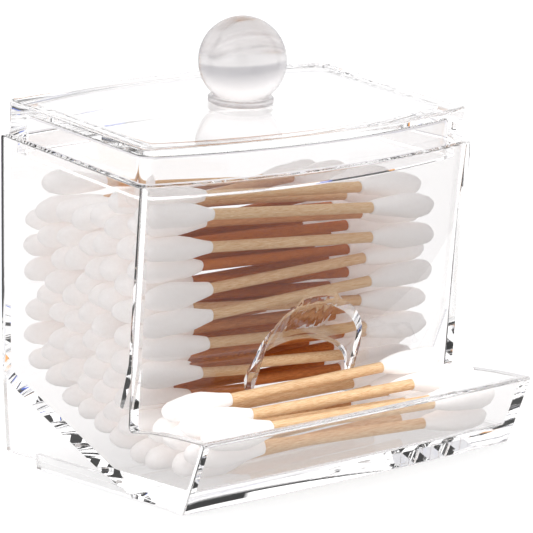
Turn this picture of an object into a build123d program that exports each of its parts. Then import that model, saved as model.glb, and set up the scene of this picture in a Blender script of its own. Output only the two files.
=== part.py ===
from build123d import *
import math
import os
import numpy as np

# A clear moulded dispenser for cotton swabs: a bowed box that leans forward
# over a shallow tray, a lift-off lid with a ball knob, and the swabs inside.
# X runs along the swabs, the tray is towards -Y, +Z is up, all in millimetres.
# Heights "in the box" are measured square to the rim, before the box leans.

# Swabs
swab_length = 75.0
stick_radius = 1.15
cotton_length = 17.0
cotton_radius = 2.65
cotton_neck_radius = 1.4
cotton_tip_radius = 1.3
cotton_full_start = 3.0
cotton_full_end = 9.0
full_radius_end_share = 0.97
swab_end_play = 3.1
swab_end_clear = 0.5
swab_play = 0.08
swab_wall_play = 0.35
swab_skew = 5.0
heap_rim_drop = 6.5
heap_back_drop = 4.0
tray_heap_height = 13.2
tray_heap_rise = 8.0
swab_count = 72
row_count = 8
heap_seed = 4
heap_tries = 600
heap_patience = 25
heap_stations = 57
far_below_share = 100

# Box
wall_thick = 2.4
box_width = swab_length + (wall_thick + swab_end_play) * 2
box_depth = 50.2
rim_height = 62.0
wall_bow = 5.4
knee_thick = 2.2
hem_thick = 1.1
lean_degrees = 7.4
front_edge_reach = 42.7
knee_height = 25.0
hem_height = 15.2
hem_setback = 3.6
wall_draft_share = 0.048
box_corner_radius = 1.2

# Finger scoop in the front wall: an arch with a roof that slants inwards
scoop_half_width = 12.7
scoop_spring_height = 29.0
scoop_top_height = 36.8
scoop_plate = 1.6
scoop_depth = 6.7
scoop_drop = 10.3
scoop_reach = 3.024
scoop_hem_reach = 1.524
scoop_back_height = 23.2

# Base, sloped floor and side skirts
floor_thick = 5.0
slope_thick = 3.2
crease_radius_outer = 5.0
crease_radius_inner = 2.5
slope_degrees = 22.2
slope_start = 20.65
skirt_clear = 2.1
skirt_clear_front = 24.0
foot_back_inset = 10.05
foot_inset = 1.0
foot_width = 2.4

# Tray
tray_reach = 8.0
tray_height = 15.5
tray_wall = 2.3
tray_bow_low = 1.3
tray_bow_high = 0.8
cheek_low = 13.9
cheek_low_back = 17.3
cheek_mid = 15.0
cheek_mid_back = 9.0
cheek_high = 15.4
cheek_high_back = 1.0

# Lid and knob
lid_side_setback = 0.9
lid_front_setback = 0.7
lid_height = 7.6
lid_gap = 0.1
lid_corner_radius = 2.4
lid_edge_radius = 0.7
lid_top_thick = 2.5
lid_inset = 4.3
lip_drop = 3.4
lip_play = 0.5
knob_radius = 9.3
knob_rise = 8.95
collar_radius = 6.9
collar_height = 1.5


def half(value):
    return value / 2


def scoop_back(reach):
    """A depth behind the middle of the front wall's hem, where the scoop ends."""
    return front_at(hem_height) - wall_bow + reach


def skirt_back():
    """How far back the side walls stand, straight below the box's back corner."""
    return leaned(back_at(hem_height), hem_height)[0]


def leaned(y, z):
    """A point of the box, given square to its rim, as it stands on the table."""
    turn = math.radians(lean_degrees)
    back = y + front_edge_reach
    return back * math.cos(turn) - z * math.sin(turn), back * math.sin(turn) + z * math.cos(turn)


def lean(solid):
    return Rot(X=lean_degrees) * (Pos(Y=front_edge_reach) * solid)


def front_at(z):
    """Front face of the box at its corners, in the box's own height."""
    knee = wall_draft_share * (rim_height - knee_height)
    if z >= knee_height:
        return wall_draft_share * (rim_height - z) - half(box_depth)
    kick = hem_setback * (knee_height - z) / (knee_height - hem_height)
    return knee + kick - half(box_depth)


def front_line_at(z):
    """Front edge of the side walls, which run straight on down to the tray."""
    return wall_draft_share * (rim_height - z) - half(box_depth)


def back_at(z):
    return half(box_depth) - wall_draft_share * (rim_height - z)


def bowed_strip(width, y_out, y_in, bow, z):
    """A thin bowed face between two arcs, bulging away from the box's middle."""
    x = half(width)
    plane = Plane.XY.offset(z)
    out_arc = ThreePointArc((-x, y_out), (0, y_out + bow), (x, y_out))
    in_arc = ThreePointArc((x, y_in), (0, y_in + bow), (-x, y_in))
    edges = [out_arc, Line((x, y_out), (x, y_in)), in_arc, Line((-x, y_in), (-x, y_out))]
    return plane * make_face(Wire(edges))


def bowed_outline(width, depth, bow, z):
    """A plan outline with straight sides and bowed front and back."""
    x = half(width)
    y = half(depth)
    edges = [
        ThreePointArc((-x, -y), (0, -y - bow), (x, -y)),
        Line((x, -y), (x, y)),
        ThreePointArc((x, y), (0, y + bow), (-x, y)),
        Line((-x, y), (-x, -y)),
    ]
    return Plane.XY.offset(z) * make_face(Wire(edges))


def profile_slab(points, x_low, x_high):
    """A side profile, given as (y, z) points, drawn out along X."""
    face = Plane.YZ * make_face(Polyline(*points, close=True))
    return Pos(X=x_low) * extrude(face, x_high - x_low, dir=(1, 0, 0))


def front_thick_at(z):
    if z >= knee_height:
        return wall_thick + (knee_thick - wall_thick) * (rim_height - z) / (rim_height - knee_height)
    return knee_thick + (hem_thick - knee_thick) * (knee_height - z) / (knee_height - hem_height)


def front_wall():
    levels = [rim_height, knee_height, hem_height]
    width = box_width - wall_thick
    strips = []
    for z in levels:
        y = front_at(z)
        strips.append(bowed_strip(width, y, y + front_thick_at(z), -wall_bow, z))
    upper = loft(strips[:2], ruled=True)
    lower = loft(strips[1:], ruled=True)
    return lean(upper + lower)


def back_wall():
    strips = []
    for z in (rim_height, 0):
        y = back_at(z)
        strips.append(bowed_strip(box_width - wall_thick, y, y - wall_thick, wall_bow, z))
    return lean(loft(strips, ruled=True))


def slope_line(y, rise):
    return math.tan(math.radians(slope_degrees)) * (y - slope_start) + rise


def slope_rise():
    return slope_thick / math.cos(math.radians(slope_degrees))


def under_floor():
    """The space below the sloped floor, which cuts the back wall's foot off."""
    far = skirt_back() + box_depth
    points = [(slope_start, 0), (far, 0), (far, slope_line(far, 0))]
    return profile_slab(points, -box_width, box_width)


def floor_plate():
    far = skirt_back() + wall_bow + wall_thick
    start = slope_start + (floor_thick - slope_rise()) / math.tan(math.radians(slope_degrees))
    points = [
        (0, 0),
        (slope_start, 0),
        (far, slope_line(far, 0)),
        (far, slope_line(far, slope_rise())),
        (start, floor_thick),
        (-tray_reach * floor_thick / tray_height, floor_thick),
    ]
    width = half(box_width) - half(wall_thick)
    return profile_slab(points, -width, width)


def behind_back_wall():
    """Everything behind the bowed back face, to trim the sloped floor with."""
    far = box_depth + box_width
    strips = []
    for z in (rim_height, -rim_height):
        strips.append(bowed_strip(box_width + box_depth, back_at(z) - bow_excess(), far, bow_wide(), z))
    return lean(loft(strips, ruled=True))


def bow_wide():
    """Sagitta of the back arc when it is drawn on past the corners."""
    radius = bow_radius()
    reach = half(box_width + box_depth)
    return radius - math.sqrt(radius**2 - reach**2)


def bow_radius():
    reach = half(box_width - wall_thick)
    return half(reach**2 / wall_bow + wall_bow)


def bow_excess():
    return bow_wide() - wall_bow


def side_wall():
    foot = leaned(front_line_at(0), 0)
    points = [
        leaned(front_line_at(rim_height), rim_height),
        leaned(back_at(rim_height), rim_height),
        leaned(back_at(hem_height), hem_height),
        (skirt_back(), skirt_clear),
        (skirt_clear_front, skirt_clear),
        foot,
    ]
    panel = profile_slab(points, half(box_width) - wall_thick, half(box_width))
    outer = panel.faces().sort_by(Axis.X)[-1].edges()
    tall = half(rim_height)
    uprights = [edge for edge in outer if abs((edge @ 1 - edge @ 0).Z) > tall]
    return fillet(uprights, box_corner_radius) + tray_cheek()


def tray_cheek():
    top = Spline(
        (cheek_low_back, cheek_low),
        (cheek_mid_back, cheek_mid),
        (cheek_high_back, cheek_high),
        (-tray_reach, tray_height),
    )
    rest = Polyline(
        (-tray_reach, tray_height),
        (0, 0),
        (skirt_clear_front, skirt_clear),
        (skirt_clear_front, cheek_low),
        (cheek_low_back, cheek_low),
    )
    face = Plane.YZ * make_face(Wire(top.edges() + rest.edges()))
    cheek = extrude(face, wall_thick, dir=(1, 0, 0))
    return Pos(X=half(box_width) - wall_thick) * cheek


def tray_front():
    width = box_width - wall_thick
    low = bowed_strip(width, 0, tray_wall, -tray_bow_low, 0)
    high = bowed_strip(width, -tray_reach, tray_wall - tray_reach, -tray_bow_high, tray_height)
    return loft([low, high], ruled=True)


def foot_rail():
    start = slope_start - foot_width
    return Box(
        foot_width, skirt_back() - foot_back_inset - start, skirt_clear + foot_inset,
        align=(Align.MIN, Align.MIN, Align.MIN),
    ).moved(Pos(half(box_width) - foot_inset - foot_width, start, 0))


def scoop_prism(margin):
    """The scoop's arch, swept along its slanting roof through the front wall."""
    x = scoop_half_width + margin
    top = scoop_top_height + margin
    low = hem_height - scoop_drop * 2
    rise = top - scoop_spring_height
    arch = EllipticalCenterArc((0, scoop_spring_height), x, rise, start_angle=0, arc_size=180)
    sides = Polyline((-x, scoop_spring_height), (-x, low), (x, low), (x, scoop_spring_height))
    profile = make_face(Wire(arch.edges() + sides.edges()))
    start = -half(box_depth) - wall_bow - scoop_depth
    face = (Plane.XZ * profile).moved(Pos(0, start, scoop_drop))
    length = math.hypot(scoop_depth, scoop_drop) * 3
    return extrude(face, length, dir=(0, scoop_depth, -scoop_drop))


def scoop():
    """Roof and side plates of the scoop, ending flush inside the front wall."""
    bury = hem_thick + half(hem_thick) - wall_bow
    high = scoop_top_height + scoop_drop
    front = [(front_at(z) + bury, z) for z in (high, knee_height)]
    front.append((front_at(hem_height) + half(hem_thick) - wall_bow + half(hem_thick), hem_height))
    back = [
        (scoop_back(scoop_hem_reach), hem_height),
        (scoop_back(scoop_reach), scoop_back_height),
        (scoop_back(scoop_reach), high),
    ]
    width = scoop_half_width + scoop_plate
    keep = profile_slab(front + back, -width, width)
    return lean((scoop_prism(scoop_plate) - scoop_prism(0)) & keep)


def crease_edges(sheet):
    """The edges where the floor meets the back wall, the inside one first."""
    low = sheet.edges().filter_by_position(Axis.Z, floor_thick, knee_height)
    return low.sort_by(Axis.Y)[-2:]


def bent_sheet():
    """Sloped floor and back wall, rounded inside and out where they meet."""
    sheet = back_wall() - under_floor() + (floor_plate() - behind_back_wall())
    sheet = fillet([crease_edges(sheet)[0]], crease_radius_inner)
    return fillet([crease_edges(sheet)[-1]], crease_radius_outer)


def holder():
    side = side_wall()
    body = side + mirror(side, Plane.YZ)
    body += front_wall() - lean(scoop_prism(0)) + scoop()
    body += bent_sheet() + tray_front()
    return body + foot_rail() + mirror(foot_rail(), Plane.YZ)


def lid():
    width = box_width - lid_side_setback * 2
    depth = box_depth - lid_front_setback * 2
    low = rim_height + lid_gap
    cap = extrude(bowed_outline(width, depth, wall_bow, low), lid_height)
    uprights = cap.edges().filter_by(Axis.Z)
    cap = fillet(uprights, lid_corner_radius)
    cap = fillet(cap.faces().sort_by(Axis.Z)[-1].edges(), lid_edge_radius)
    lip_width = box_width - (wall_thick + lip_play) * 2
    lip_depth = box_depth - (wall_thick + lip_play) * 2
    lip = extrude(bowed_outline(lip_width, lip_depth, wall_bow, low - lip_drop), lip_drop + lid_top_thick)
    lip = fillet(lip.edges().filter_by(Axis.Z), lid_corner_radius - lip_play)
    hollow_width = width - lid_inset * 2
    hollow_depth = depth - lid_inset * 2
    hollow_height = lip_drop + lid_height - lid_top_thick
    hollow = extrude(bowed_outline(hollow_width, hollow_depth, wall_bow, low - lip_drop), hollow_height)
    hollow = fillet(hollow.edges().filter_by(Axis.Z), lid_corner_radius - lip_play)
    return lean(cap + lip - hollow)


def lid_knob():
    base = rim_height + lid_gap + lid_height
    ball = Sphere(knob_radius).moved(Pos(Z=base + knob_rise))
    collar = Cylinder(collar_radius, collar_height, align=(Align.CENTER, Align.CENTER, Align.MIN))
    below = Box(box_width, box_width, knob_radius, align=(Align.CENTER, Align.CENTER, Align.MAX))
    return lean(ball + collar.moved(Pos(Z=base)) - below.moved(Pos(Z=base)))


def swab_profile():
    """Radius of a swab at distances from its tip, out to the bare stick."""
    reach = [0, cotton_full_start, cotton_full_end, cotton_length]
    radius = [cotton_tip_radius, cotton_radius, cotton_radius * full_radius_end_share, cotton_neck_radius]
    return reach, radius


def radius_along(stations, shift):
    """Swab radius at each station along X, and whether the swab is there."""
    from_tip = half(swab_length) - np.abs(stations - shift)
    reach, radius = swab_profile()
    found = np.interp(from_tip, reach + [cotton_length * (1 + 1e-6)], radius + [stick_radius])
    return found, from_tip >= 0


def box_point(y, z):
    """Table coordinates turned back to the box's own, square to the rim."""
    turn = math.radians(lean_degrees)
    back = y * math.cos(turn) + z * math.sin(turn) - front_edge_reach
    return back, z * math.cos(turn) - y * math.sin(turn)


def bow_at(stations):
    return wall_bow * (1 - (stations / half(box_width)) ** 2)


def clear_of_walls(y, z, radius, there, stations):
    """Which swabs keep off the walls of the box and the tray along their whole length."""
    back, up = box_point(y, z)
    bow = bow_at(stations)
    room = radius + swab_wall_play
    heights = [hem_height, knee_height, rim_height]
    face = np.interp(up, heights, [front_at(h) for h in heights]) - bow
    inner = face + np.interp(up, heights, [front_thick_at(h) for h in heights])
    rear = np.interp(up, [0, rim_height], [back_at(0), back_at(rim_height)]) + bow - wall_thick
    inside = back - room > inner
    over_scoop = up > scoop_top_height + scoop_plate * 2
    beside_scoop = np.abs(stations) > scoop_half_width + scoop_plate * 2
    behind_scoop = back - room > scoop_back(scoop_reach)
    inside &= beside_scoop | over_scoop | behind_scoop
    outside = back + room < face
    below_hem = up + room < hem_height
    tray_face = -tray_reach * z / tray_height + tray_wall
    fits = (inside | outside | below_hem) & (y - room > tray_face) & (back + room < rear)
    return np.all(fits | ~there, axis=1)


def under_heap_top(y, z):
    """Which swabs lie below the top of the heap, in the box or in the tray."""
    back, up = box_point(y, z)
    share = (back - front_at(rim_height)) / box_depth
    in_box = up < rim_height - heap_rim_drop - heap_back_drop * share
    in_tray = z < tray_heap_height + tray_heap_rise * (y + tray_reach) / (slope_start + tray_reach)
    in_tray &= up < knee_height
    behind_wall = back > np.interp(up, [hem_height, rim_height], [front_at(hem_height), front_at(rim_height)])
    return np.where(behind_wall, in_box, in_tray)


def resting_lines(stations, floor, middle):
    """The lowest line over each floor of heights, carried on both sides of its middle."""
    rise = np.full(floor.shape[0], -np.inf)
    slope = np.zeros(floor.shape[0])
    split = len(stations) // 2
    for i in range(split):
        for_right = (floor[:, split:] - floor[:, i:i + 1]) / (stations[split:] - stations[i])
        at_middle = floor[:, i:i + 1] + for_right * (middle - stations[i])[:, None]
        best = np.argmax(at_middle, axis=1)
        rows = np.arange(len(best))
        higher = at_middle[rows, best] > rise
        rise = np.where(higher, at_middle[rows, best], rise)
        slope = np.where(higher, for_right[rows, best], slope)
    limit = math.tan(math.radians(swab_skew))
    slope = np.clip(slope, -limit, limit)
    lift = floor - slope[:, None] * (stations - middle[:, None])
    return lift.max(axis=1), slope


def lay_swab(draw, stations, laid):
    """One more swab at a random skew, on the lowest of many free spots, or None."""
    shift = draw.uniform(-1, 1, heap_tries) * (swab_end_play - swab_end_clear)
    skew = math.tan(math.radians(np.clip(draw.normal(0, half(swab_skew)), -swab_skew, swab_skew)))
    middle = draw.uniform(-tray_reach, skirt_back() + wall_bow, heap_tries)
    radius, there = radius_along(stations[None, :], shift[:, None])
    y = middle[:, None] + skew * (stations[None, :] - shift[:, None])
    steep = 1 / math.cos(math.radians(slope_degrees))
    floor = np.maximum(floor_thick + radius, slope_line(y, slope_rise()) + radius * steep) + swab_play
    for other_y, other_z, other_radius, other_there in zip(*laid):
        need = radius + other_radius + swab_play
        off = np.abs(y - other_y)
        meets = (off < need) & (other_there > 0)
        over = other_z + np.sqrt(np.maximum(need**2 - off**2, 0))
        floor = np.where(meets, np.maximum(floor, over), floor)
    floor = np.where(there, floor, -box_width * far_below_share)
    height, slope = resting_lines(stations, floor, shift)
    z = height[:, None] + slope[:, None] * (stations[None, :] - shift[:, None])
    good = under_heap_top(middle, height) & clear_of_walls(y, z, radius, there, stations)
    if not good.any():
        return None
    pick = int(np.argmin(np.where(good, height, np.inf)))
    line = ((shift[pick], middle[pick], height[pick]), (1, skew, slope[pick]))
    return line, np.array([y[pick], z[pick], radius[pick], there[pick]])


def settle_swabs():
    """Lay the swabs down one at a time until the heap is complete."""
    draw = np.random.default_rng(heap_seed)
    reach = half(swab_length) + swab_end_play - swab_end_clear
    stations = np.linspace(-1, 1, heap_stations) * reach
    laid = np.zeros((4, 0, heap_stations))
    swabs = []
    misses = 0
    while len(swabs) < swab_count and misses < heap_patience:
        found = lay_swab(draw, stations, laid)
        misses = 0 if found else misses + 1
        if found:
            swabs.append(found[0])
            laid = np.concatenate([laid, found[1][:, None, :]], axis=1)
    return swabs


def hexagon(radius, offset):
    return Plane.XY.offset(offset) * RegularPolygon(radius, 6)


def cotton_bud():
    """One wound cotton tip, standing on its neck with its tip up."""
    reach, radius = swab_profile()
    rings = [hexagon(r, cotton_length - away) for away, r in zip(reach, radius)]
    return loft(rings[::-1], ruled=True)


def bare_stick():
    length = swab_length - cotton_length * 2
    return extrude(hexagon(stick_radius, -half(length)), length)


def swab_pieces(swab, bud, stick):
    """The stick and the two cotton tips of one swab, where it lies."""
    centre, along = swab
    neck = half(swab_length) - cotton_length
    line = Vector(*[float(v) for v in along]).normalized()
    middle = Vector(*[float(v) for v in centre])
    ahead = Plane(origin=middle, x_dir=(0, 1, 0), z_dir=line)
    behind = Plane(origin=middle, x_dir=(0, 1, 0), z_dir=line * -1)
    tips = [plane.location * Pos(Z=neck) * bud for plane in (ahead, behind)]
    return ahead.location * stick, tips


def swab_rows():
    """Swabs sorted into rows from the bottom of the heap to its top."""
    heap = sorted(settle_swabs(), key=lambda swab: swab[0][2])
    size = math.ceil(len(heap) / row_count)
    return [heap[i:i + size] for i in range(0, len(heap), size)]


def group(solids):
    return Compound([part for solid in solids for part in solid.solids()])


def build():
    bud = cotton_bud()
    stick = bare_stick()
    parts = {"holder": holder(), "lid": lid(), "lid_knob": lid_knob()}
    for number, row in enumerate(swab_rows(), start=1):
        pieces = [swab_pieces(swab, bud, stick) for swab in row]
        parts[f"swab_sticks_{number}"] = group([piece for piece, tips in pieces])
        parts[f"swab_cotton_{number}"] = group([tip for piece, tips in pieces for tip in tips])
    return parts


def centred(parts):
    """Put the middle of the whole thing over the origin, standing on z = 0."""
    boxes = [part.bounding_box() for part in parts.values()]
    front = min(box.min.Y for box in boxes)
    rear = max(box.max.Y for box in boxes)
    return {name: Pos(Y=-half(front + rear)) * part for name, part in parts.items()}


def main():
    os.makedirs("parts", exist_ok=True)
    for name, part in centred(build()).items():
        part.label = name
        export_step(part, f"parts/{name}.step")
        print(name, part.is_valid, len(part.solids()), round(part.volume, 1))


if __name__ == "__main__":
    main()
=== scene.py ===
# %% [markdown]
# A clear plastic box for cotton swabs, with a loose lid and a ball for a knob.
# Almost everything here is transparent, so the picture is made of what the
# plastic bends: its edges, its thickness and what stands around it. The CAD
# model gives every place and size, and this script gives each piece its look.

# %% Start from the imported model
import bpy
import math
import numpy as np
from mathutils import Matrix, Vector


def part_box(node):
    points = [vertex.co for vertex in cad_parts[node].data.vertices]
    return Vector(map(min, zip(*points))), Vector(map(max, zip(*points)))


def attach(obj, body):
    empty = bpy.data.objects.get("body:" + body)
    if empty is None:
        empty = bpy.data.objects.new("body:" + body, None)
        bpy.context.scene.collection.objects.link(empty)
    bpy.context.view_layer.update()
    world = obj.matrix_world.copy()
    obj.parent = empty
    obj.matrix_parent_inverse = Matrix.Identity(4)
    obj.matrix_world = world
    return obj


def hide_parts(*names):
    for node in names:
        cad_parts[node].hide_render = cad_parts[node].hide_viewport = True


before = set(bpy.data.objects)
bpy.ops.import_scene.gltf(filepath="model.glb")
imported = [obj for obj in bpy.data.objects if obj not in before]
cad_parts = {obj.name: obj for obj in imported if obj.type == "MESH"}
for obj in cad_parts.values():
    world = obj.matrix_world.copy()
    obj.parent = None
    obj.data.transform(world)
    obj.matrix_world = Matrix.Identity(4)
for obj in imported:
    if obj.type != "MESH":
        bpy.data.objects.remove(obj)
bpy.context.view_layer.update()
mm = 0.001

# %% [markdown]
# Blender's operators act on whatever is selected, and the imported model comes
# in selected. Three small helpers keep that under control: one leaves a single
# piece selected and active, one runs edit-mode steps on it, and one turns a
# hex colour, as a paint chart gives it, into the linear values that shaders use.

# %% Helpers for selecting and for colours
def only(piece):
    """Leave one piece selected and active."""
    bpy.ops.object.select_all(action="DESELECT")
    piece.select_set(True)
    bpy.context.view_layer.objects.active = piece


def in_edit_mode(piece, *steps):
    """Run each step in edit mode with the whole mesh selected."""
    only(piece)
    bpy.ops.object.mode_set(mode="EDIT")
    for step in steps:
        bpy.ops.mesh.select_all(action="SELECT")
        step()
    bpy.ops.object.mode_set(mode="OBJECT")


def colour(hex_value):
    """An sRGB hex colour as linear red, green, blue and alpha."""
    parts = [int(hex_value[i:i + 2], 16) / 255 for i in (1, 3, 5)]
    linear = [c / 12.92 if c <= 0.04045 else ((c + 0.055) / 1.055) ** 2.4 for c in parts]
    return (*linear, 1.0)


# %% [markdown]
# The picture was taken with a long lens from the front left, a little above
# the lid. A long lens keeps the edges nearly parallel. The camera is turned by
# three plain angles: left-right, up-down, and a slight roll of the picture.

# %% The camera
camera_place = Vector((-364.2, -474.9, 146.4)) * mm
camera_yaw = math.radians(-37.69)
camera_pitch = math.radians(-10.07)
camera_roll = math.radians(-1.87)
lens_mm = 195.6

camera_data = bpy.data.cameras.new("camera")
camera_data.lens = lens_mm
camera_data.sensor_width = 36
camera_data.clip_start = 0.01
camera = bpy.data.objects.new("camera", camera_data)
bpy.context.scene.collection.objects.link(camera)
upright = Matrix.Rotation(math.radians(90) + camera_pitch, 4, "X")
camera.matrix_world = (
    Matrix.Translation(camera_place)
    @ Matrix.Rotation(camera_yaw, 4, "Z")
    @ upright
    @ Matrix.Rotation(camera_roll, 4, "Z")
)
bpy.context.scene.camera = camera

# %% [markdown]
# Clear plastic shows only what it reflects and bends, and in an all-white room
# it would vanish. So the room is a little grey near the table and white higher
# up, which leaves a faint grey on the walls of the box. The table is an opal
# panel that is lit from inside. A painted table was tried first: it took a grey
# shadow that the photo doesn't have, and left the cotton in the box too dark.

# %% The white room
bpy.context.scene.view_settings.view_transform = "Standard"
bpy.context.scene.view_settings.look = "None"

room = bpy.data.worlds.new("white_room")
bpy.context.scene.world = room
room.use_nodes = True
room_light = room.node_tree.nodes["Background"]
room_strength = 1.62
room_light.inputs["Strength"].default_value = room_strength


def add_node(tree, kind, settings=None, inputs=None):
    """Add a node, set its options, then set or link its inputs."""
    node = tree.nodes.new(kind)
    for name, value in (settings or {}).items():
        setattr(node, name, value)
    for name, value in (inputs or {}).items():
        if isinstance(value, bpy.types.NodeSocket):
            tree.links.new(value, node.inputs[name])
        else:
            node.inputs[name].default_value = value
    return node


direction = add_node(room.node_tree, "ShaderNodeTexCoord")
grey_up_to, white_from = 0.1, 0.45
height = add_node(
    room.node_tree, "ShaderNodeSeparateXYZ", None, {"Vector": direction.outputs["Generated"]},
)
walls = add_node(room.node_tree, "ShaderNodeValToRGB", None, {"Fac": height.outputs["Z"]})
walls.color_ramp.elements[0].position = grey_up_to
walls.color_ramp.elements[0].color = colour("#BEBEC1")
walls.color_ramp.elements[1].position = white_from
walls.color_ramp.elements[1].color = colour("#FFFFFF")
room.node_tree.links.new(walls.outputs["Color"], room_light.inputs["Color"])


def new_material(name):
    """A material with only its output and a Principled shader, and the shader."""
    material = bpy.data.materials.new(name)
    material.use_nodes = True
    return material, material.node_tree, material.node_tree.nodes["Principled BSDF"]


def flat_card(name, size, place, turn, material):
    """A rectangle of the given size, turned and placed."""
    bpy.ops.object.select_all(action="DESELECT")
    bpy.ops.mesh.primitive_plane_add(size=1)
    card = bpy.context.active_object
    card.name = name
    shape = Matrix.Diagonal((size[0], size[1], 1, 1))
    tipped = Matrix.Rotation(math.radians(turn[0]), 4, "X")
    turned = Matrix.Rotation(math.radians(turn[2]), 4, "Z") @ tipped
    card.data.transform(Matrix.Translation(place) @ turned @ shape)
    card.data.materials.append(material)
    return card


# an even white with no shadow, which also lights the swabs from below
table_panel, tree, shader = new_material("lit_opal_panel")
grain_size, grain_relief = 0.4 * mm, 0.02 * mm
table_glow = 0.72
grain = add_node(tree, "ShaderNodeTexNoise", None, {"Scale": 1 / grain_size, "Detail": 3.0})
bump = add_node(
    tree, "ShaderNodeBump", None, {"Height": grain.outputs["Fac"], "Distance": grain_relief},
)
shader.inputs["Base Color"].default_value = colour("#8C8C8C")
shader.inputs["Roughness"].default_value = 0.6
shader.inputs["Emission Color"].default_value = colour("#FFFFFF")
shader.inputs["Emission Strength"].default_value = table_glow
tree.links.new(bump.outputs["Normal"], shader.inputs["Normal"])
floor_gap = 0.05 * mm
flat_card("floor", (12, 12), (0, 0, -floor_gap), (0, 0, 0), table_panel)

# %% [markdown]
# A ray that crosses the box meets many faces: lid, plug, front wall, scoop, back
# wall, each with two. With the usual few bends it would be cut off and come out
# black, so the numbers of bends are raised.

# %% Room for many bends of the light
light_paths = bpy.context.scene.cycles
light_paths.max_bounces = 40
light_paths.transmission_bounces = 40
light_paths.glossy_bounces = 24
light_paths.diffuse_bounces = 6

# %% [markdown]
# Lamps hardly reach the swabs through clear plastic, because a lamp's light is
# bent away from the straight line to it. The room and the table carry the light,
# and one soft lamp from the left only gives the cotton a lighter side.

# %% The lamp
def soft_lamp(name, place, size, power):
    """A square soft lamp that faces the middle of the box."""
    lamp_data = bpy.data.lights.new(name, "AREA")
    lamp_data.size = size
    lamp_data.energy = power
    lamp = bpy.data.objects.new(name, lamp_data)
    bpy.context.scene.collection.objects.link(lamp)
    aim = Vector((0, 0, 40 * mm)) - Vector(place)
    facing = aim.to_track_quat("-Z", "Y").to_matrix().to_4x4()
    lamp.matrix_world = Matrix.Translation(place) @ facing


soft_lamp("lamp_left", (-1.1, -0.3, 0.5), 0.8, 3)

# %% [markdown]
# Glass is photographed on white with dark cards beside it: the edges pick them
# up and draw themselves as dark lines. Real plastic also splits light into
# colours, which this renderer doesn't do. Blue and amber strips along the cards
# stand in for that, as thin fringes in the base and at the corners.

# %% The cards
def card_paper(name, dark, light):
    """Matt paper with a faint mottle."""
    material, tree, shader = new_material(name)
    mottle_size = 20 * mm
    mottle = add_node(tree, "ShaderNodeTexNoise", None, {"Scale": 1 / mottle_size})
    factor = {"Factor": mottle.outputs["Fac"]}
    tint = add_node(tree, "ShaderNodeMix", {"data_type": "RGBA"}, factor)
    tint.inputs["A"].default_value = colour(dark)
    tint.inputs["B"].default_value = colour(light)
    tree.links.new(tint.outputs["Result"], shader.inputs["Base Color"])
    shader.inputs["Roughness"].default_value = 0.9
    return material


black = card_paper("black_paper", "#0C0C0E", "#1A191B")
blue = card_paper("blue_paper", "#2A4FD0", "#4A74E0")
amber = card_paper("amber_paper", "#E88A20", "#F4B04A")


def hidden_card(name, size, place, turn, paper):
    """A card that only the plastic shows: it hides nothing and takes no light away.

    A black card also shows in the plastic's reflections, a coloured one only
    in what the plastic bends, as the fringes of real glass do.
    """
    card = flat_card(name, size, place, turn, paper)
    card.visible_camera = False
    card.visible_diffuse = False
    card.visible_shadow = False
    card.visible_glossy = paper is black
    return card


def edged_card(name, size, place, yaw, border):
    """An upright black card with a blue edge on one side and amber on the other."""
    aside = Matrix.Rotation(math.radians(yaw), 4, "Z") @ Vector((size[0] / 2 + border / 2, 0, 0))
    above = Vector((0, 0, size[1] / 2 + border / 2))
    place = Vector(place)
    turn = (90, 0, yaw)
    hidden_card(name, size, place, turn, black)
    hidden_card(name + "_blue", (border, size[1]), place - aside, turn, blue)
    hidden_card(name + "_amber", (border, size[1]), place + aside, turn, amber)
    hidden_card(name + "_blue_top", (size[0], border), place + above, turn, blue)


edged_card("card_left", (0.10, 0.46), (-0.26, 0.20, 0.24), 52, 0.012)
edged_card("card_right", (0.10, 0.46), (0.32, -0.12, 0.24), 52, 0.015)
edged_card("card_camera", (0.36, 0.30), (-0.44, -0.57, 0.17), -38, 0.015)
card_low = hidden_card("card_low", (0.40, 0.30), (0.13, -0.20, 0.003), (0, 0, 0), black)
card_low.visible_transmission = False
hidden_card("card_high", (0.50, 0.10), (0.20, 0.30, 0.55), (60, 0, -38), black)

# %% [markdown]
# The box, its lid and the knob are moulded acrylic: a very clear, hard plastic
# with a polished skin. Light slows down in it by a factor of 1.49. Moulding
# leaves long shallow waves that only show as wobbles in what is seen through.
# The knob is satin: a slight roughness blurs what is seen in the ball.

# %% Clear acrylic
def clear_acrylic(name, tint, roughness, wave_mm, wave_depth_mm):
    """Moulded acrylic with the faint waves of its skin."""
    material, tree, shader = new_material(name)
    place = add_node(tree, "ShaderNodeTexCoord")
    waves = add_node(
        tree, "ShaderNodeTexNoise", None,
        {"Vector": place.outputs["Object"], "Scale": 1 / (wave_mm * mm), "Detail": 1.0},
    )
    bump = add_node(
        tree, "ShaderNodeBump", None,
        {"Height": waves.outputs["Fac"], "Strength": 1.0, "Distance": wave_depth_mm * mm},
    )
    shader.inputs["Base Color"].default_value = colour(tint)
    shader.inputs["Roughness"].default_value = roughness
    shader.inputs["IOR"].default_value = 1.49
    shader.inputs["Transmission Weight"].default_value = 1.0
    tree.links.new(bump.outputs["Normal"], shader.inputs["Normal"])
    return material


box_acrylic = clear_acrylic("clear_moulded_acrylic", "#F7F6F6", 0.0, 25, 0.002)
knob_acrylic = clear_acrylic("satin_turned_acrylic", "#D8D5D5", 0.17, 12, 0.005)


# %% [markdown]
# The holder is one moulding: a box that leans over a flaring tray. Its floor,
# tray front and back wall are one bent sheet, so they are drawn as one closed
# profile that is carried along X. The two side walls, the front wall with its
# finger scoop and the two foot rails are then joined to it. Every corner of a
# profile is rounded, because a moulded edge is never quite sharp, and in clear
# plastic it is the rounding that draws the bright and dark lines.

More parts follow.
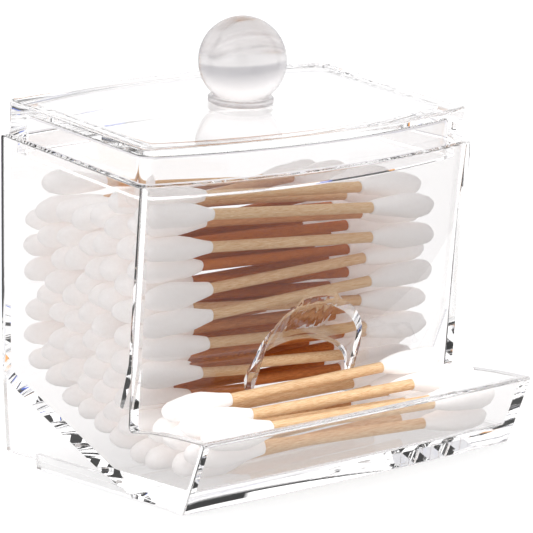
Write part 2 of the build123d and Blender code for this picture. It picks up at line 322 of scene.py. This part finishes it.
# %% Sizes of the holder, in millimetres
box_width = 86.0
box_depth = 50.2
rim_height = 62.0
wall_bow = 5.4
wall_thick = 2.4
knee_thick = 2.2
hem_thick = 1.1
lean = math.radians(7.4)
front_edge_reach = 42.7
knee_height = 25.0
hem_height = 15.2
hem_setback = 3.6
wall_draft_share = 0.048
floor_thick = 5.0
slope_thick = 3.2
slope = math.radians(22.2)
slope_start = 20.65
skirt_clear = 2.1
skirt_clear_front = 24.0
foot_back = 53.0
foot_inset = 1.0
foot_width = 2.4
tray_reach = 8.0
tray_height = 15.5
tray_wall = 2.3
tray_bow_low = 1.3
tray_bow_high = 0.8
middle_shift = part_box("holder")[0].y / mm + tray_reach + tray_bow_high


def standing(x, y, z):
    """A point given from the foot of the tray's front, in metres of the frame."""
    return Vector((x, y + middle_shift, z)) * mm


def table_point(y, z):
    """A point of the box, given square to its rim, as the box leans."""
    back = y + front_edge_reach
    return back * math.cos(lean) - z * math.sin(lean), back * math.sin(lean) + z * math.cos(lean)


def leaning(x, y, z):
    return standing(x, *table_point(y, z))


# %% Helpers: rounded corners, and a solid through rings of points
def spread(low, high, steps):
    return [low + (high - low) * i / steps for i in range(steps + 1)]


def corner_arc(before, here, after, radius, steps):
    """Points round one corner of an outline; a radius of 0 keeps it a point."""
    here = Vector(here)
    if radius == 0:
        return [tuple(here)]
    back = (Vector(before) - here).normalized()
    ahead = (Vector(after) - here).normalized()
    opening = back.angle(ahead)
    centre = here + (back + ahead).normalized() * radius / math.sin(opening / 2)
    reach = radius / math.tan(opening / 2)
    first = (here + back * reach - centre).normalized()
    last = (here + ahead * reach - centre).normalized()
    side = (last - last.dot(first) * first).normalized()
    turns = spread(0, math.pi - opening, steps)
    return [tuple(centre + (first * math.cos(t) + side * math.sin(t)) * radius) for t in turns]


def rounded(corners):
    """A closed outline from corners (y, z, radius, steps, stretches).

    The last number, where there is one, cuts the line to the next corner into
    that many stretches.
    """
    count = len(corners)
    arcs = []
    for i, (y, z, radius, steps, *_) in enumerate(corners):
        before, after = corners[i - 1][:2], corners[(i + 1) % count][:2]
        arcs.append(corner_arc(before, (y, z), after, radius, steps))
    outline = []
    for i, arc in enumerate(arcs):
        stretches = corners[i][4] if len(corners[i]) > 4 else 1
        start, end = np.array(arc[-1]), np.array(arcs[(i + 1) % count][0])
        outline += arc
        outline += [tuple(start + (end - start) * k / stretches) for k in range(1, stretches)]
    return outline


def loft(name, rings):
    """A closed solid through rings of points, with a flat cap on both ends."""
    count = len(rings[0])
    middle = (len(rings) - 1) / 2
    bpy.ops.object.select_all(action="DESELECT")
    bpy.ops.mesh.primitive_cylinder_add(vertices=count, radius=1, depth=middle * 2)
    solid = bpy.context.active_object
    solid.name = name
    heights = [i - middle for i in range(1, len(rings) - 1)]
    in_edit_mode(solid, *[
        lambda at=at: bpy.ops.mesh.bisect(plane_co=(0, 0, at), plane_no=(0, 0, 1))
        for at in heights
    ])
    for v in solid.data.vertices:
        spot = round(math.atan2(v.co.x, v.co.y) / (2 * math.pi) * count) % count
        v.co = rings[round(v.co.z + middle)][spot]
    in_edit_mode(solid, lambda: bpy.ops.mesh.normals_make_consistent(inside=False))
    return solid


def combine(base, tool, how):
    """Join or cut one solid with another, which is used up."""
    step = base.modifiers.new("combine", "BOOLEAN")
    step.operation = how
    step.solver = "MANIFOLD"
    step.object = tool
    only(base)
    bpy.ops.object.modifier_apply(modifier=step.name)
    bpy.data.objects.remove(tool)


# %% The bent sheet: tray front, floor and back wall
wall_half = (box_width - wall_thick) / 2
edge_round = 0.35
toe_round = 0.7
slope_bend = 3
crease_outer, crease_inner = 5, 2.5
floor_bend = 5
tray_foot_round = 1.2
tray_rim_round = 0.6


def bow(x, depth):
    """How far a bowed wall stands out at x, for its depth at the middle."""
    radius = (wall_half**2 / depth + depth) / 2
    return math.sqrt(radius**2 - x**2) - (radius - depth)


def meet(a, b, c, d):
    """Where the line through a and b meets the line through c and d."""
    a, b, c, d = (Vector(p) for p in (a, b, c, d))
    along, other = b - a, d - c
    share = ((c - a).x * other.y - (c - a).y * other.x) / (along.x * other.y - along.y * other.x)
    return tuple(a + along * share)


def back_line(x, depth_in):
    """Two points of the back wall's line, a given depth inside its outer face."""
    top = box_depth / 2 + bow(x, wall_bow) - depth_in
    drop = rim_height * wall_draft_share
    return table_point(top, rim_height), table_point(top - drop, 0)


def basin_profile(x):
    rise = slope_thick / math.cos(slope)
    far = slope_start + box_depth
    under = (slope_start, 0), (far, (far - slope_start) * math.tan(slope))
    over = (slope_start, rise), (far, under[1][1] + rise)
    outer, inner = back_line(x, 0), back_line(x, wall_thick)
    low, high = -bow(x, tray_bow_low), -tray_reach - bow(x, tray_bow_high)
    at_floor = low + (high - low) * floor_thick / tray_height + tray_wall
    return rounded([
        (low, 0, toe_round, 4, 8),
        (slope_start, 0, slope_bend, 4, 16),
        (*meet(*under, *outer), crease_outer, 12, 16),
        (*outer[0], edge_round, 4),
        (*inner[0], edge_round, 4, 16),
        (*meet(*over, *inner), crease_inner, 8, 16),
        (slope_start + (floor_thick - rise) / math.tan(slope), floor_thick, floor_bend, 4, 8),
        (at_floor, floor_thick, tray_foot_round, 5, 4),
        (high + tray_wall, tray_height, tray_rim_round, 4),
        (high, tray_height, tray_rim_round, 4, 5),
    ])


stations = spread(-wall_half, wall_half, 40)
basin = loft("basin", [[standing(x, y, z) for y, z in basin_profile(x)] for x in stations])
print("basin", len(basin.data.polygons), "faces")

# %% [markdown]
# A side wall is flat, from the rim down to the table, with the tray's cheek in
# front. It could be a cut-out plane with thickness, but a profile carried
# through the wall gives rounded corners, and a bevel then rounds its long edges.

# %% The side walls, from the rim down to the table
cheek_shares = ((0.0, 15.5), (0.36, 15.4), (0.67, 15.0), (1.0, 13.9))
cheek_low_back = 17.3
skirt_round = 1
hem_corner_round = 0.2
rim_corner_round = 0.4
cheek_round = 1.0
bevel_above = math.radians(60)


def side_profile():
    """The side wall seen from the side, with the tray's cheek in front."""
    front_top = table_point(-box_depth / 2, rim_height)
    back_top = back_line(wall_half, 0)[0]
    hem_draft = wall_draft_share * (rim_height - hem_height)
    hem_back = table_point(box_depth / 2 - hem_draft, hem_height)
    cheek = [(-tray_reach + (cheek_low_back + tray_reach) * share, z) for share, z in cheek_shares]
    outline = [
        (0, 0, toe_round, 4),
        (skirt_clear_front, skirt_clear, slope_bend, 4),
        (hem_back[0], skirt_clear, skirt_round, 4),
        (*hem_back, hem_corner_round, 2),
        (*back_top, rim_corner_round, 3),
        (*front_top, rim_corner_round, 3),
    ]
    outline += [(y, z, cheek_round, 3) for y, z in reversed(cheek[1:])]
    outline.append((*cheek[0], tray_rim_round, 4))
    return rounded(outline)


def side_wall(side):
    inner, outer = (box_width / 2 - wall_thick) * side, box_width / 2 * side
    profile = side_profile()
    wall = loft("side_wall", [[standing(x, y, z) for y, z in profile] for x in (inner, outer)])
    edges = wall.modifiers.new("edges", "BEVEL")
    edges.width = edge_round * 2 * mm
    edges.segments = 4
    edges.limit_method = "ANGLE"
    edges.angle_limit = bevel_above
    only(wall)
    bpy.ops.object.modifier_apply(modifier=edges.name)
    return wall


# %% [markdown]
# The front wall is bowed, has a knee and ends in a thin hem over the tray. The
# finger scoop is an arch whose roof slants inwards and down. Its shell is added
# to the wall first and the opening cut last, so that the cut is clean through
# both.

# %% The front wall and its finger scoop
scoop_half_width = 12.7
scoop_spring_height = 29.0
scoop_top_height = 36.8
scoop_plate = 1.6
scoop_depth = 6.7
scoop_drop = 10.3
scoop_back = 22.1
scoop_back_hem = 23.6
scoop_back_height = 23.2
knee_round = 5


def front_at(z):
    """Outer face of the front wall at its ends, by height in the box."""
    face = wall_draft_share * (rim_height - z) - box_depth / 2
    if z < knee_height:
        face = front_at(knee_height) + hem_setback * (knee_height - z) / (knee_height - hem_height)
    return face


def front_profile(x):
    stand = bow(x, wall_bow)
    outer = [(front_at(z) - stand, z) for z in (hem_height, knee_height, rim_height)]
    thick = (hem_thick, knee_thick, wall_thick)
    inner = [(y + t, z) for (y, z), t in zip(outer, thick)]
    rounds = (edge_round, knee_round, edge_round)
    corners = [(*p, r, 5, cuts) for p, r, cuts in zip(outer, rounds, (5, 18, 1))]
    corners += [(*p, r, 5, cuts) for p, r, cuts in zip(inner[::-1], rounds, (18, 5, 1))]
    return rounded(corners)


def arch(margin, y, lift):
    """The scoop's arch as a ring of points, moved up and to depth y."""
    x = scoop_half_width + margin
    rise = scoop_top_height + margin - scoop_spring_height
    low = hem_height - scoop_drop * 2
    turns = spread(0, math.pi, 40)
    ring = [(x * math.cos(t), scoop_spring_height + rise * math.sin(t)) for t in turns]
    ring += [(-x, low), (x, low)]
    return [leaning(px, y, pz + lift) for px, pz in ring]


def arch_prism(margin):
    """The arch carried inwards and down along the slant of its roof."""
    start = -box_depth / 2 - wall_bow - scoop_depth
    rings = [arch(margin, start + scoop_depth * i, scoop_drop * (1 - i)) for i in (0, 3)]
    return loft("arch", rings)


def scoop_reach():
    """The slab that the scoop's shell is cut to, from the wall to its back edge."""
    bury = hem_thick * 1.5 - wall_bow
    high = scoop_top_height + scoop_drop
    corners = [(front_at(z) + bury, z) for z in (high, knee_height, hem_height)]
    corners += [(-scoop_back_hem, hem_height), (-scoop_back, scoop_back_height)]
    corners.append((-scoop_back, high))
    width = scoop_half_width + scoop_plate * 2
    return loft("reach", [[leaning(x, y, z) for y, z in corners] for x in (-width, width)])


front = loft("front_wall", [[leaning(x, y, z) for y, z in front_profile(x)] for x in stations])
shell = arch_prism(scoop_plate)
combine(shell, scoop_reach(), "INTERSECT")
combine(front, shell, "UNION")
combine(front, arch_prism(0), "DIFFERENCE")
print("front", len(front.data.polygons), "faces")

# %% [markdown]
# The parts are joined into one closed solid, as the moulding is. Faces left
# inside would bend the light where the real plastic is whole. Each face then
# gets normals weighted by its area: the large faces stay truly flat, and only
# the roundings turn. Without that, clear walls show wavy lines.

# %% Join the holder
def foot_rail(side):
    outer = (box_width / 2 - foot_inset) * side
    inner = (box_width / 2 - foot_inset - foot_width) * side
    start, top = slope_start - foot_width, skirt_clear + foot_inset
    corners = [(start, 0), (foot_back, 0), (foot_back, top), (start, top)]
    return loft("foot_rail", [[standing(x, y, z) for y, z in corners] for x in (inner, outer)])


holder = basin
for tool in (side_wall(-1), side_wall(1), front, foot_rail(-1), foot_rail(1)):
    combine(holder, tool, "UNION")
holder.name = "holder_shell"


smooth_below = math.radians(32)


def finish_shell(piece, material, body, node):
    """Give a shell its plastic and smooth faces, and tie it to the model."""
    piece.data.materials.clear()
    piece.data.materials.append(material)
    only(piece)
    bpy.ops.object.shade_smooth_by_angle(angle=smooth_below)
    normals = piece.modifiers.new("normals", "WEIGHTED_NORMAL")
    normals.keep_sharp = True
    bpy.ops.object.modifier_apply(modifier=normals.name)
    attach(piece, body)
    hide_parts(node)
    print(piece.name, len(piece.data.polygons), "faces")


finish_shell(holder, box_acrylic, "holder", "holder")

# %% [markdown]
# The lid is a shallow cap. A ring of wall hangs below its rim and plugs into
# the box. It is one closed solid: rings of points run from the ceiling of its
# hollow, down and around the plug, out to the rim, and up over the edge.

# %% The lid
lid_side_setback = 0.9
lid_front_setback = 0.7
lid_low = rim_height + 0.1
lid_height = 7.6
lid_top_thick = 2.5
lid_inset = 4.3
lip_drop = 3.4
lip_play = 0.5
lid_corner = 2.4
lid_edge = 0.7
ceiling_round, ceiling_corner = 0.8, 1.6
lip_corner = 1.9
lid_half_width = box_width / 2 - lid_side_setback
lid_half_depth = box_depth / 2 - lid_front_setback


def lid_ring(half_width, half_depth, corner, z):
    """The lid's plan outline: straight sides, bowed front and back."""
    share = half_width / lid_half_width
    xs = spread(-half_width, half_width, 28)
    stands = [bow(x / share * wall_half / lid_half_width, wall_bow) for x in xs]
    front_edge = [(x, -half_depth - s) for x, s in zip(xs, stands)]
    back_edge = [(-x, half_depth + s) for x, s in zip(xs, stands)]
    corners = []
    for edge in (front_edge, back_edge):
        for i, point in enumerate(edge):
            at_corner = i in (0, len(edge) - 1)
            corners.append((*point, corner if at_corner else 0, 8))
    return [leaning(x, y, z) for x, y in rounded(corners)]


def lid_rings():
    top = lid_low + lid_height
    under, lip_low = top - lid_top_thick, lid_low - lip_drop
    hollow = (lid_half_width - lid_inset, lid_half_depth - lid_inset)
    plug = (box_width / 2 - wall_thick - lip_play, box_depth / 2 - wall_thick - lip_play)
    rim = (lid_half_width, lid_half_depth)
    rings = []

    def ring(base, inset, z, corner):
        rings.append(lid_ring(base[0] - inset, base[1] - inset, corner, z))

    fine = 0.25
    for share in (0, 0.5, 1):
        turn = share * math.pi / 2
        inset = ceiling_round * (1 - math.sin(turn))
        ring(hollow, inset, under - ceiling_round * (1 - math.cos(turn)), ceiling_corner)
    ring(hollow, 0, lip_low + fine, lip_corner)
    ring(hollow, -fine, lip_low, lip_corner)
    ring(plug, fine, lip_low, lip_corner)
    ring(plug, 0, lip_low + fine, lip_corner)
    ring(plug, 0, lid_low, lip_corner)
    ring(rim, fine * 2, lid_low, lid_corner)
    ring(rim, fine * 0.6, lid_low + fine * 0.6, lid_corner)
    ring(rim, 0, lid_low + fine * 2, lid_corner)
    for share in spread(0, 1, 5):
        turn = share * math.pi / 2
        inset = lid_edge * (1 - math.cos(turn))
        ring(rim, inset, top - lid_edge * (1 - math.sin(turn)), lid_corner)
    return rings


lid = loft("lid_shell", lid_rings())
finish_shell(lid, box_acrylic, "lid", "lid")

# %% [markdown]
# The knob is a solid ball of the same plastic on a low round foot. It is
# turned on a lathe in real life, so here too a profile is carried round.

# %% The knob
knob_radius = 9.3
knob_rise = 8.95
collar_radius = 6.9
collar_height = 1.5
glue_gap = 0.03
knob_turns = 64
pole = math.radians(88)


def turned_ring(radius, height):
    base = lid_low + lid_height
    turns = [2 * math.pi * i / knob_turns for i in range(knob_turns)]
    return [leaning(radius * math.cos(t), radius * math.sin(t), base + height) for t in turns]


def knob_rings():
    fine = 0.3
    lowest = -math.asin((knob_rise - collar_height) / knob_radius)
    rings = [turned_ring(collar_radius - fine, glue_gap), turned_ring(collar_radius, fine)]
    rings.append(turned_ring(collar_radius, collar_height - fine))
    rings.append(turned_ring(collar_radius - fine, collar_height))
    for turn in spread(lowest, pole, 40):
        height = knob_rise + knob_radius * math.sin(turn)
        rings.append(turned_ring(knob_radius * math.cos(turn), height))
    return rings


knob = loft("knob_ball", knob_rings())
finish_shell(knob, knob_acrylic, "lid", "lid_knob")

# %% [markdown]
# Each swab is a thin wooden stick with a cotton end wound on both sides. The
# CAD model holds them as plain six-sided solids. Their places are read from
# those solids: each stick is a loose part, and the middles of its two ends
# give the swab's line.

# %% Where the swabs lie
def stick_lines(node):
    """The two end points of each stick in a CAD node."""
    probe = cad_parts[node].copy()
    probe.data = probe.data.copy()
    probe.parent = None
    bpy.context.scene.collection.objects.link(probe)
    in_edit_mode(probe, lambda: bpy.ops.mesh.remove_doubles(threshold=0.002 * mm))
    only(probe)
    bpy.ops.mesh.separate(type="LOOSE")
    lines = []
    for part in list(bpy.context.selected_objects):
        corners = np.array([v.co for v in part.data.vertices])
        right = corners[:, 0] > corners[:, 0].mean()
        lines.append((Vector(corners[~right].mean(0)), Vector(corners[right].mean(0))))
        bpy.data.objects.remove(part)
    return lines


rows = sorted(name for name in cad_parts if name.startswith("swab_sticks_"))
row_lines = {name: stick_lines(name) for name in rows}
print(sum(len(lines) for lines in row_lines.values()), "swabs")

# %% [markdown]
# Birch sticks are pale tan with fine dark streaks along the grain. Sticks deep in
# the heap get a darker orange brown, which is painted shade. Cotton is
# white with a warm cast, and its surface is soft: wound fibres leave shallow
# slanting ridges, and loose ones scatter light at the edges, which is sheen.
# Light that enters cotton comes out again further on. A faint glow, which is
# painted light, stands in for that and lifts the ends behind the plastic,
# because real scattering in 144 ends behind plastic is slow and noisy.

# %% Birch and cotton
grain_long, grain_fine, wood_relief = 14 * mm, 0.35 * mm, 0.03 * mm
fibre_size, fibre_relief = 0.5 * mm, 0.12 * mm
cotton_painted_glow = 0.11


def birch():
    material, tree, shader = new_material("birch_with_heap_shade")
    place = add_node(tree, "ShaderNodeTexCoord")
    along = add_node(
        tree, "ShaderNodeMapping", None,
        {
            "Vector": place.outputs["Object"],
            "Scale": (1 / grain_long, 1 / grain_fine, 1 / grain_fine),
        },
    )
    streaks = add_node(
        tree, "ShaderNodeTexNoise", None, {"Vector": along.outputs["Vector"], "Detail": 4.0},
    )

    def streaked(dark, light):
        ramp = add_node(tree, "ShaderNodeValToRGB", None, {"Fac": streaks.outputs["Fac"]})
        for element, position, tone in zip(ramp.color_ramp.elements, (0.3, 0.65), (dark, light)):
            element.position = position
            element.color = colour(tone)
        return ramp.outputs["Color"]

    # Painted shade: the depth attribute mixes sticks inside the heap towards the darker orange
    # brown pair, for the light lost between sticks.
    depth = add_node(tree, "ShaderNodeAttribute", {"attribute_name": "depth"})
    tone = add_node(tree, "ShaderNodeMix", {"data_type": "RGBA"}, {"Factor": depth.outputs["Fac"]})
    tree.links.new(streaked("#D89E64", "#FADDB4"), tone.inputs["A"])
    tree.links.new(streaked("#A24A08", "#DA8024"), tone.inputs["B"])
    bump = add_node(
        tree, "ShaderNodeBump", None, {"Height": streaks.outputs["Fac"], "Distance": wood_relief},
    )
    tree.links.new(tone.outputs["Result"], shader.inputs["Base Color"])
    tree.links.new(bump.outputs["Normal"], shader.inputs["Normal"])
    shader.inputs["Roughness"].default_value = 0.6
    return material


def cotton():
    material, tree, shader = new_material("wound_cotton")
    place = add_node(tree, "ShaderNodeTexCoord")
    fibres = add_node(
        tree, "ShaderNodeTexNoise", None,
        {
            "Vector": place.outputs["Object"], "Scale": 1 / fibre_size,
            "Detail": 5.0, "Roughness": 0.7,
        },
    )
    ramp = add_node(tree, "ShaderNodeValToRGB", None, {"Fac": fibres.outputs["Fac"]})
    ramp.color_ramp.elements[0].position = 0.25
    ramp.color_ramp.elements[0].color = colour("#F6F1EE")
    ramp.color_ramp.elements[1].position = 0.7
    ramp.color_ramp.elements[1].color = colour("#FFFDFC")
    bump = add_node(
        tree, "ShaderNodeBump", None, {"Height": fibres.outputs["Fac"], "Distance": fibre_relief},
    )
    tree.links.new(ramp.outputs["Color"], shader.inputs["Base Color"])
    tree.links.new(bump.outputs["Normal"], shader.inputs["Normal"])
    shader.inputs["Roughness"].default_value = 0.95
    shader.inputs["Sheen Weight"].default_value = 0.4
    shader.inputs["Sheen Roughness"].default_value = 0.6
    # Painted light: a faint warm glow on all the cotton, in place of scattered light and to lift
    # the ends behind the plastic.
    shader.inputs["Emission Color"].default_value = colour("#FFF6F2")
    shader.inputs["Emission Strength"].default_value = cotton_painted_glow
    return material


birch_wood = birch()
cotton_wool = cotton()

# %% [markdown]
# One stick and one cotton end are modelled and then copied. The end starts as a
# ball with few faces, because there are 144 of them, and is drawn out to the
# wound shape: blunt tip, full middle, narrow neck.

# %% One stick and one cotton end
swab_length = 75 * mm
cotton_length = 17 * mm
stick_radius = 1.15 * mm
cotton_radius = 2.65 * mm
bare_length = swab_length - 2 * cotton_length
tuck = 3 * mm
profile_reach_share = (0, 0.012, 0.05, 0.12, 0.24, 0.42, 0.6, 0.78, 0.92, 1)
profile_radius_share = (0, 0.32, 0.58, 0.82, 0.97, 1, 0.93, 0.76, 0.58, 0.47)


def model_stick():
    """A birch stick that runs a little way into the cotton at both ends."""
    bpy.ops.object.select_all(action="DESELECT")
    length = bare_length + 2 * tuck
    bpy.ops.mesh.primitive_cylinder_add(vertices=14, radius=stick_radius, depth=length)
    stick = bpy.context.active_object
    only(stick)
    bpy.ops.object.shade_smooth_by_angle(angle=math.radians(40))
    stick.data.materials.append(birch_wood)
    return stick


def model_bud():
    """A cotton end along +Z: a ball drawn out to the wound shape."""
    bpy.ops.object.select_all(action="DESELECT")
    bpy.ops.mesh.primitive_uv_sphere_add(segments=20, ring_count=18, radius=1)
    bud = bpy.context.active_object
    for v in bud.data.vertices:
        share = (1 - v.co.z) / 2
        reach = share * cotton_length
        flat = math.hypot(v.co.x, v.co.y)
        wide = np.interp(share, profile_reach_share, profile_radius_share) * cotton_radius
        if flat > 0:
            v.co.x *= wide / flat
            v.co.y *= wide / flat
        v.co.z = swab_length / 2 - reach
    only(bud)
    bpy.ops.object.shade_smooth()
    bud.data.materials.append(cotton_wool)
    return bud


stick_model = model_stick()
bud_model = model_bud()

# %% [markdown]
# Deep in the heap, light has passed between many sticks and comes back orange
# brown. Few rays find their way that deep, so that shade is painted: each stick
# keeps its depth in the heap, and the wood's colour turns darker orange brown
# with it. The cotton ends are pressed and bulged, each one differently, because
# no two are wound alike.

# %% Lay a copy along each line
draw = np.random.default_rng(5)


def along_line(line, flip):
    """The turn and place that carry a model along +Z onto a swab's line."""
    middle = (line[0] + line[1]) / 2
    way = (line[1] - line[0]).normalized() * (-1 if flip else 1)
    return Matrix.Translation(middle) @ way.to_track_quat("Z", "Y").to_matrix().to_4x4()


def laid_copy(model, matrix):
    piece = model.copy()
    piece.data = model.data.copy()
    bpy.context.scene.collection.objects.link(piece)
    piece.data.transform(matrix)
    return piece


heap_top_drop = 7
light_depth, fading_depth = 3.5, 4


def heap_shade_share(line):
    """How much painted shade a stick's wood gets: 0 next to a wall or on top of the heap, 1 inside
    it.
    """
    middle = (line[0] + line[1]) / 2 / mm
    out, up = middle.y - middle_shift, middle.z
    back = out * math.cos(lean) + up * math.sin(lean) - front_edge_reach
    up = up * math.cos(lean) - out * math.sin(lean)
    behind_front = back - front_at(max(up, knee_height)) - wall_thick
    before_back = box_depth / 2 - wall_draft_share * (rim_height - up) - wall_thick - back
    below_top = rim_height - heap_top_drop - up
    inside = min(behind_front, before_back, below_top)
    return min(max((inside - light_depth) / fading_depth, 0), 1)


def stick_copy(line):
    """A stick on its line, with its depth in the heap kept for the painted shade of its colour."""
    piece = laid_copy(stick_model, along_line(line, False))
    # The depth attribute sets how much painted shade this stick's wood gets.
    depth = piece.data.attributes.new("depth", "FLOAT", "POINT")
    for point in depth.data:
        point.value = heap_shade_share(line)
    return piece


def uneven(piece):
    """Press and bulge a cotton end a little, each one differently."""
    turns = draw.uniform(0, 2 * math.pi, 3)
    amounts = draw.uniform(0.02, 0.07, 3)
    for v in piece.data.vertices:
        turn = math.atan2(v.co.y, v.co.x)
        height = v.co.z / mm
        swell = amounts[0] * math.sin(2 * turn + turns[0] + height * 0.15)
        swell += amounts[1] * math.sin(3 * turn + turns[1] - height * 0.3)
        swell += amounts[2] * math.sin(height * 0.6 + turns[2])
        v.co.x *= 1 + swell
        v.co.y *= 1 + swell


def join(pieces, name):
    only(pieces[0])
    for piece in pieces:
        piece.select_set(True)
    bpy.ops.object.join()
    pieces[0].name = name
    return pieces[0]


def bud_copy(line, flip):
    piece = laid_copy(bud_model, Matrix.Rotation(draw.uniform(0, 2 * math.pi), 4, "Z"))
    uneven(piece)
    piece.data.transform(along_line(line, flip))
    return piece


for node, lines in row_lines.items():
    number = node.split("_")[-1]
    sticks = join([stick_copy(line) for line in lines], f"birch_sticks_{number}")
    ends = [bud_copy(line, flip) for line in lines for flip in (False, True)]
    buds = join(ends, f"cotton_ends_{number}")
    rides = ((sticks, "swab_stick", node), (buds, "cotton", f"swab_cotton_{number}"))
    for piece, slot, replaced in rides:
        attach(piece, "holder")
        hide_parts(replaced)

bpy.data.objects.remove(stick_model)
bpy.data.objects.remove(bud_model)
